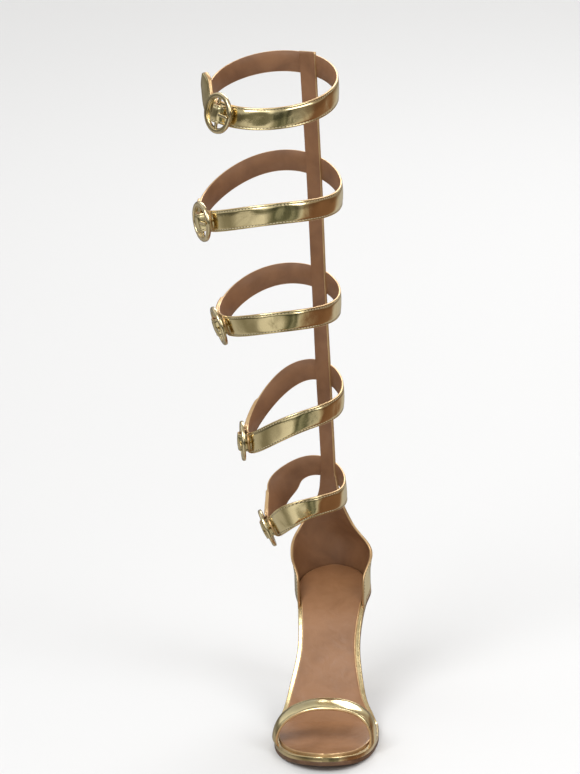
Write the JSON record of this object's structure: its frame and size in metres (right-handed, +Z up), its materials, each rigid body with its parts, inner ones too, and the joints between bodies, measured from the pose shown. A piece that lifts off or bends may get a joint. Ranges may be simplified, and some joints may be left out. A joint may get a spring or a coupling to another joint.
{
  "type": "gladiator sandal",
  "caption": "Knee-high strappy sandal for the right foot, with buckled leg straps on a back spine, a toe strap and a high slim heel.",
  "frame": {"origin": "middle of the flat tread under the ball of the foot, on the floor", "axes": "+Z up, toe towards -Y, +X towards the inner side of the foot"},
  "size_m": [0.1395, 0.2142, 0.5261],
  "materials": {
    "outsole": "matte",
    "platform_wrap": "satin",
    "insole_leather": "satin",
    "heel_wrap": "satin",
    "top_piece": "matte",
    "gold_leather": "satin",
    "buckle_metal": "polished"
  },
  "bodies": {
    "root": {"outsole": "outsole", "platform": "platform_wrap", "insole": "insole_leather", "heel": "heel_wrap", "heel_tip": "top_piece", "toe_strap": "gold_leather", "upper": "gold_leather", "buckle_1": "buckle_metal", "prong_1": "buckle_metal", "buckle_2": "buckle_metal", "prong_2": "buckle_metal", "buckle_3": "buckle_metal", "prong_3": "buckle_metal", "buckle_4": "buckle_metal", "prong_4": "buckle_metal", "buckle_5": "buckle_metal", "prong_5": "buckle_metal"}
  },
  "joints": []
}
